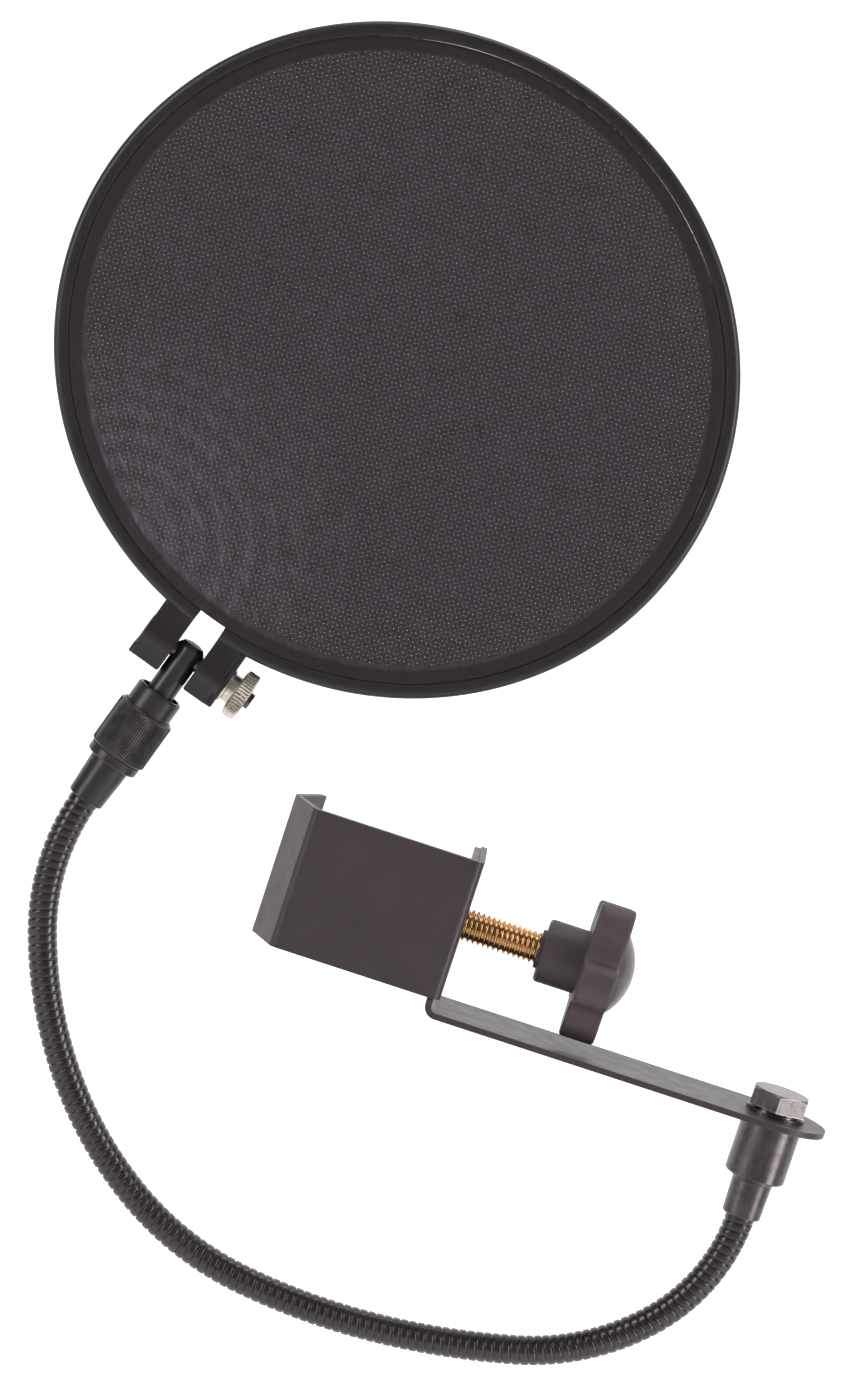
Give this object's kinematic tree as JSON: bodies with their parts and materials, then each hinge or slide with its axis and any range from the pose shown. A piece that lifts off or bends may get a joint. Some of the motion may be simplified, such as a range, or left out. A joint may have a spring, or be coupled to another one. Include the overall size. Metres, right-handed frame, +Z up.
{
  "type": "microphone pop shield",
  "caption": "Round two-layer mesh pop shield on a gooseneck with a stand clamp, star-knob clamp screw and a knurled lock nut.",
  "frame": {"origin": "axis of a 20 mm stand tube seated in the clamp's V jaw, at the height of the clamp screw", "axes": "+Z up along the stand tube, +X along the arm towards the gooseneck's base, -Y is the hoop's front"},
  "size_m": [0.231, 0.034, 0.2995],
  "materials": {
    "charcoal_paint": "satin",
    "dark_nickel": "satin metallic",
    "bolt_zinc": "zinc plated",
    "yellow_zinc": "yellow zinc plated",
    "bright_nickel": "nickel plated",
    "knob_plastic": "moulded, matte",
    "hoop_plastic": "moulded, satin",
    "black_mesh": "fine nylon net, two layers",
    "black_steel": "semi-gloss black",
    "black_union": "semi-gloss black, knurled",
    "pad_rubber": "matte"
  },
  "bodies": {
    "clamp": {"clamp_bracket": "charcoal_paint", "clamp_arm": "charcoal_paint"},
    "pad": {"pressure_pad": "pad_rubber"},
    "clamp_knob": {"clamp_screw": "yellow_zinc", "star_knob": "knob_plastic", "knob_cap": "knob_plastic"},
    "base": {"arm_bolt": "bolt_zinc", "bolt_washer": "bolt_zinc", "base_sleeve": "dark_nickel", "lower_ferrule": "dark_nickel", "neck_segment_1": "black_steel"},
    "neck_2": {"neck_segment_2": "black_steel"},
    "neck_3": {"neck_segment_3": "black_steel"},
    "neck_4": {"neck_segment_4": "black_steel"},
    "neck_5": {"neck_segment_5": "black_steel"},
    "neck_6": {"neck_segment_6": "black_steel"},
    "neck_7": {"neck_segment_7": "black_steel"},
    "neck_top": {"neck_segment_8": "black_steel", "upper_ferrule": "black_union", "nut_retainer": "black_union"},
    "union_lock": {"union_nut": "black_union"},
    "stem": {"socket": "black_union", "stem": "black_steel"},
    "hoop": {"outer_hoop": "hoop_plastic", "inner_hoop": "hoop_plastic", "front_mesh": "black_mesh", "rear_mesh": "black_mesh", "pivot_screw": "dark_nickel"},
    "thumb_carrier": {"thumb_washer": "bright_nickel"},
    "thumb_knob": {"thumb_nut": "bright_nickel"}
  },
  "joints": [
    {"name": "clamp_feed", "type": "slide", "parent": "clamp", "child": "pad", "axis": [-1, 0, 0], "range_m": [-0.015, 0.015]},
    {"name": "clamp_turn", "type": "hinge", "parent": "pad", "child": "clamp_knob", "pos_m": [0, 0, 0], "axis": [-1, 0, 0], "range_deg": [-4321, 4321]},
    {"name": "base_swivel", "type": "hinge", "parent": "clamp", "child": "base", "pos_m": [0.1173, 0, -0.02], "axis": [0, 0, 1], "continuous": true},
    {"name": "neck_bend_1", "type": "hinge", "parent": "base", "child": "neck_2", "pos_m": [0.10546, 0, -0.07582], "axis": [0, 1, 0], "range_deg": [-33, 14]},
    {"name": "neck_side_2", "type": "hinge", "parent": "neck_2", "child": "neck_3", "pos_m": [0.07718, 0, -0.09288], "axis": [-0.2521, 0, 0.9677], "range_deg": [-30, 30]},
    {"name": "neck_bend_3", "type": "hinge", "parent": "neck_3", "child": "neck_4", "pos_m": [0.04418, 0, -0.09831], "axis": [0, 1, 0], "range_deg": [-33, 14]},
    {"name": "neck_side_4", "type": "hinge", "parent": "neck_4", "child": "neck_5", "pos_m": [0.01077, 0, -0.09723], "axis": [0.1357, 0, 0.9907], "range_deg": [-30, 30]},
    {"name": "neck_bend_5", "type": "hinge", "parent": "neck_5", "child": "neck_6", "pos_m": [-0.02028, 0, -0.08547], "axis": [0, 1, 0], "range_deg": [-33, 14]},
    {"name": "neck_side_6", "type": "hinge", "parent": "neck_6", "child": "neck_7", "pos_m": [-0.04431, 0, -0.06239], "axis": [0.809, 0, 0.5878], "range_deg": [-30, 30]},
    {"name": "neck_bend_7", "type": "hinge", "parent": "neck_7", "child": "neck_top", "pos_m": [-0.05923, 0, -0.03258], "axis": [0, 1, 0], "range_deg": [-33, 14]},
    {"name": "union_lock_turn", "type": "hinge", "parent": "neck_top", "child": "union_lock", "pos_m": [-0.05525, 0, 0.0126], "axis": [0.3024, 0, 0.9532], "range_deg": [0, 90]},
    {"name": "union_swivel", "type": "hinge", "parent": "neck_top", "child": "stem", "pos_m": [-0.05313, 0, 0.01928], "axis": [0.3024, 0, 0.9532], "continuous": true},
    {"name": "hoop_tilt", "type": "hinge", "parent": "stem", "child": "hoop", "pos_m": [-0.04666, 0, 0.03967], "axis": [-0.9532, 0, 0.3024], "range_deg": [-90, 90]},
    {"name": "thumb_feed", "type": "slide", "parent": "hoop", "child": "thumb_carrier", "axis": [0.9532, 0, -0.3024], "range_m": [0, 0.0014]},
    {"name": "thumb_turn", "type": "hinge", "parent": "thumb_carrier", "child": "thumb_knob", "pos_m": [-0.04666, 0, 0.03967], "axis": [0.9532, 0, -0.3024], "range_deg": [0, 721]}
  ],
  "couplings": [
    {"joint": "clamp_turn", "follows": "clamp_feed", "rad_per_m": 5026.5},
    {"joint": "thumb_turn", "follows": "thumb_feed", "rad_per_m": 8976}
  ]
}
